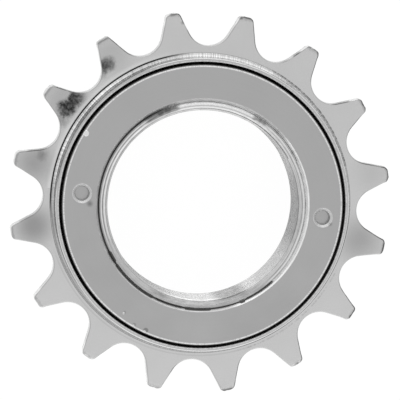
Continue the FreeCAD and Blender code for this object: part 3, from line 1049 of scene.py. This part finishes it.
class FREEWHEEL_OT_sprocket(bpy.types.Operator):
    """Builds the sprocket body with rounded plated edges in place of the plain solid"""

    bl_idname = "freewheel.sprocket"
    bl_label = "Sprocket body"

    def execute(self, context):
        teeth = context.scene.freewheel_teeth
        body = context.scene.freewheel_body
        colours = context.scene.freewheel_colours
        tree = ring_of_sectors()
        pitch_radius = teeth.chain_pitch / 2 / math.sin(math.pi / teeth.tooth_count)
        piece = tree.run(
            "plated_sprocket_body",
            sector_mesh(teeth, body),
            {
                "Count": teeth.tooth_count // 2,
                "Wave Height": WAVE_HEIGHT,
                "Tip Roughness": TIP_ROUGHNESS,
                "Inner Radius": body.shoulder_radius,
                "Tip Radius": pitch_radius + teeth.tooth_rise,
                "Seed": 3.0,
                "Material": plated_body(colours),
            },
        )
        if piece.data.validate() or not piece.data.polygons:
            raise RuntimeError("the sprocket body's mesh came out broken")
        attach(piece, "outer_body")
        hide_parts("sprocket_body")
        return {"FINISHED"}


class FREEWHEEL_OT_core(bpy.types.Operator):
    """Plates the core and cuts the ridges of its two threads"""

    bl_idname = "freewheel.core"
    bl_label = "Core and threads"

    def execute(self, context):
        threads = context.scene.freewheel_threads
        colours = context.scene.freewheel_colours
        material = plated_core(colours)
        give(material, "core")
        tree = thread_ridge()
        common = {"Run Out": 0.35, "Material": material}
        hub = tree.run(
            "hub_thread",
            bpy.data.meshes.new("start"),
            {
                "Radius": threads.hub_radius,
                "Bottom": threads.hub_bottom,
                "Pitch": threads.hub_pitch,
                "Turns": HUB_TURNS,
                "Height": threads.hub_crest,
                "Foot Width": threads.hub_pitch * 0.6,
                "Crest Width": threads.hub_pitch * 0.18,
                "Start Angle": 0.6,
                "Left Hand": False,
                "Outwards": -1.0,
                **common,
            },
        )
        neck = tree.run(
            "ring_thread",
            bpy.data.meshes.new("start"),
            {
                "Radius": threads.neck_radius,
                "Bottom": CORE_HIGH.z - 0.25 * MM - NECK_TURNS * threads.neck_pitch,
                "Pitch": threads.neck_pitch,
                "Turns": NECK_TURNS,
                "Height": threads.neck_crest,
                "Foot Width": threads.neck_pitch * 0.6,
                "Crest Width": threads.neck_pitch * 0.3,
                "Start Angle": math.radians(-41.0) + NECK_TURNS * 2 * math.pi,
                "Left Hand": True,
                "Outwards": 1.0,
                **common,
            },
        )
        for piece in (hub, neck):
            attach(piece, "core_body")
        return {"FINISHED"}


class FREEWHEEL_OT_lock_ring(bpy.types.Operator):
    """Plates the lock ring"""

    bl_idname = "freewheel.lock_ring"
    bl_label = "Lock ring"

    def execute(self, context):
        give(plated_ring(context.scene.freewheel_colours), "lock_ring")
        return {"FINISHED"}


class FREEWHEEL_OT_bearings(bpy.types.Operator):
    """Gives the balls and shims their greasy steel"""

    bl_idname = "freewheel.bearings"
    bl_label = "Balls and shims"

    def execute(self, context):
        colours = context.scene.freewheel_colours
        polished = greased_steel(colours, "Greasy polished steel", 0.85, 31.0)
        give(polished, "front_balls", "rear_balls")
        rolled = greased_steel(colours, "Oiled shim steel", 0.35, 35.0)
        give(rolled, "shim_thin", "shim_middle", "shim_thick")
        return {"FINISHED"}


class FREEWHEEL_OT_pawls(bpy.types.Operator):
    """Gives the pawls and their springs their oiled steel"""

    bl_idname = "freewheel.pawls"
    bl_label = "Pawls and springs"

    def execute(self, context):
        colours = context.scene.freewheel_colours
        give(greased_steel(colours, "Oiled hardened steel", 0.3, 41.0), "pawl_a", "pawl_b")
        springy = greased_steel(colours, "Oiled spring steel", 0.2, 45.0)
        give(springy, "pawl_spring_a", "pawl_spring_b")
        return {"FINISHED"}


def picture_axes(stage):
    """Unit vectors to the picture's right, its top and the camera, in the part's frame."""
    cos, sin = math.cos(stage.roll), math.sin(stage.roll)
    right, up = Vector((cos, sin, 0)), Vector((-sin, cos, 0))
    towards = right * math.sin(stage.lean_right) + up * math.sin(stage.lean_up)
    towards.z = math.sqrt(1 - towards.length_squared)
    right = (right - towards * right.dot(towards)).normalized()
    return right, towards.cross(right), towards


def card_mesh(name, width):
    """A flat square sheet in the XY plane, of four by four faces."""
    shape = bmesh.new()
    bmesh.ops.create_grid(shape, x_segments=4, y_segments=4, size=width / 2)
    mesh = bpy.data.meshes.new(name)
    shape.to_mesh(mesh)
    shape.free()
    return mesh


def add_lamp(name, power, width, depth, place, target):
    """A soft rectangular lamp at a place, turned to a target."""
    data = bpy.data.lights.new(name, "AREA")
    data.shape = "RECTANGLE"
    data.size, data.size_y = width, depth
    data.energy = power
    lamp = bpy.data.objects.new(name, data)
    lamp.location = place
    way = Vector(target) - Vector(place)
    lamp.rotation_euler = way.to_track_quat("-Z", "Y").to_euler()
    bpy.context.scene.collection.objects.link(lamp)
    return lamp


def pale_floor(name):
    """White to the eye and in reflections, and it still takes the part's soft shadow."""
    material = bpy.data.materials.new(name)
    material.use_nodes = True
    t = Tree(material.node_tree)
    rays = t.node("ShaderNodeLightPath").outputs
    seen = Value(t, rays["Is Camera Ray"]) + Value(t, rays["Is Glossy Ray"])
    seen = seen + Value(t, rays["Is Transmission Ray"])
    paper = t.node("ShaderNodeBsdfDiffuse", {}, {"Color": (0.92, 0.92, 0.92, 1.0)}).outputs[0]
    sockets = {"Color": (1.0, 1.0, 1.0, 1.0), "Strength": 1.06}
    white = t.node("ShaderNodeEmission", {}, sockets).outputs[0]
    mixed = t.node("ShaderNodeMixShader", {}, {0: seen * 0.9, 1: paper, 2: white})
    t.node("ShaderNodeOutputMaterial", {}, {"Surface": mixed.outputs[0]})
    return material


def sky(stage, up):
    """Even light from all round, a little darker towards the picture's sides."""
    world = bpy.data.worlds.new("Studio")
    world.use_nodes = True
    t = Tree(world.node_tree)
    way = t.node("ShaderNodeTexCoord").outputs["Generated"]
    height = t.parts(way)[2]
    sockets = {0: way, 1: Vector((up.x, up.y, 0))}
    ahead = t.node("ShaderNodeVectorMath", {"operation": "DOT_PRODUCT"}, sockets)
    ahead = Value(t, ahead.outputs["Value"])
    low = 1.0 - t.maths("ABSOLUTE", height)
    strength = (0.6 + low * 0.6 + ahead * ahead * 0.45) * stage.sky_strength
    light = t.node("ShaderNodeBackground", {}, {"Strength": strength}).outputs[0]
    t.node("ShaderNodeOutputWorld", {}, {"Surface": light})
    bpy.context.scene.world = world


class FREEWHEEL_OT_stage(bpy.types.Operator):
    """Sets the pale floor, the soft light and the camera"""

    bl_idname = "freewheel.stage"
    bl_label = "Floor, light and camera"

    def execute(self, context):
        scene = context.scene
        stage = scene.freewheel_stage
        right, up, towards = picture_axes(stage)
        floor = bpy.data.objects.new("floor", card_mesh("floor", FLOOR_SIZE))
        floor.data.transform(Matrix.Translation((0, 0, CORE_LOW.z - FLOOR_GAP)))
        floor.data.materials.append(pale_floor("Pale paper"))
        scene.collection.objects.link(floor)
        sky(stage, up)
        above = Vector((-towards.x, -towards.y, towards.z))
        add_lamp("softbox", stage.lamp_power, 0.7, 0.7, above * 1.1, (0, 0, 0))
        add_lamp("top_strip", 0.3, 0.7, 0.12, up * 0.6 + Vector((0, 0, 0.45)), (0, 0, 0))
        add_lamp("foot_strip", 0.2, 0.7, 0.12, up * -0.6 + Vector((0, 0, 0.4)), (0, 0, 0))

        data = bpy.data.cameras.new("camera")
        per_pixel = 1 / stage.pixels_per_metre
        data.sensor_width = SENSOR_WIDTH
        data.lens = data.sensor_width * stage.camera_distance / (IMAGE_PIXELS * per_pixel)
        data.clip_start, data.clip_end = 0.05, 20.0
        camera = bpy.data.objects.new("camera", data)
        middle = IMAGE_PIXELS / 2
        teeth = scene.freewheel_teeth
        look = Vector((0, 0, (teeth.plate_front + teeth.plate_rear) / 2))
        look += right * (middle - stage.middle_right) * per_pixel
        look += up * (stage.middle_down - middle) * per_pixel
        turned = Matrix((right, up, towards)).transposed().to_4x4()
        camera.matrix_world = Matrix.Translation(look + towards * stage.camera_distance) @ turned
        scene.collection.objects.link(camera)
        scene.camera = camera
        scene.view_settings.view_transform = "Standard"
        return {"FINISHED"}


STEPS = (
    FREEWHEEL_OT_sprocket,
    FREEWHEEL_OT_core,
    FREEWHEEL_OT_lock_ring,
    FREEWHEEL_OT_bearings,
    FREEWHEEL_OT_pawls,
    FREEWHEEL_OT_stage,
)


class FREEWHEEL_PT_panel(bpy.types.Panel):
    """Lists the steps that build the freewheel"""

    bl_idname = "FREEWHEEL_PT_panel"
    bl_label = "Freewheel"
    bl_space_type = "VIEW_3D"
    bl_region_type = "UI"
    bl_category = "Freewheel"

    def draw(self, context):
        for step in STEPS:
            self.layout.operator(step.bl_idname)


GROUPS = {
    "freewheel_teeth": ToothSizes,
    "freewheel_body": BodySizes,
    "freewheel_threads": ThreadSizes,
    "freewheel_colours": FinishColours,
    "freewheel_stage": StageSizes,
}


def register():
    for group in GROUPS.values():
        bpy.utils.register_class(group)
    for name, group in GROUPS.items():
        setattr(bpy.types.Scene, name, bpy.props.PointerProperty(type=group))
    for made in (*STEPS, FREEWHEEL_PT_panel):
        bpy.utils.register_class(made)


def unregister():
    for made in (FREEWHEEL_PT_panel, *reversed(STEPS)):
        bpy.utils.unregister_class(made)
    for name in GROUPS:
        delattr(bpy.types.Scene, name)
    for group in reversed(GROUPS.values()):
        bpy.utils.unregister_class(group)


def main():
    register()
    bpy.ops.freewheel.sprocket()
    bpy.ops.freewheel.core()
    bpy.ops.freewheel.lock_ring()
    bpy.ops.freewheel.bearings()
    bpy.ops.freewheel.pawls()
    bpy.ops.freewheel.stage()


if __name__ == "__main__":
    main()
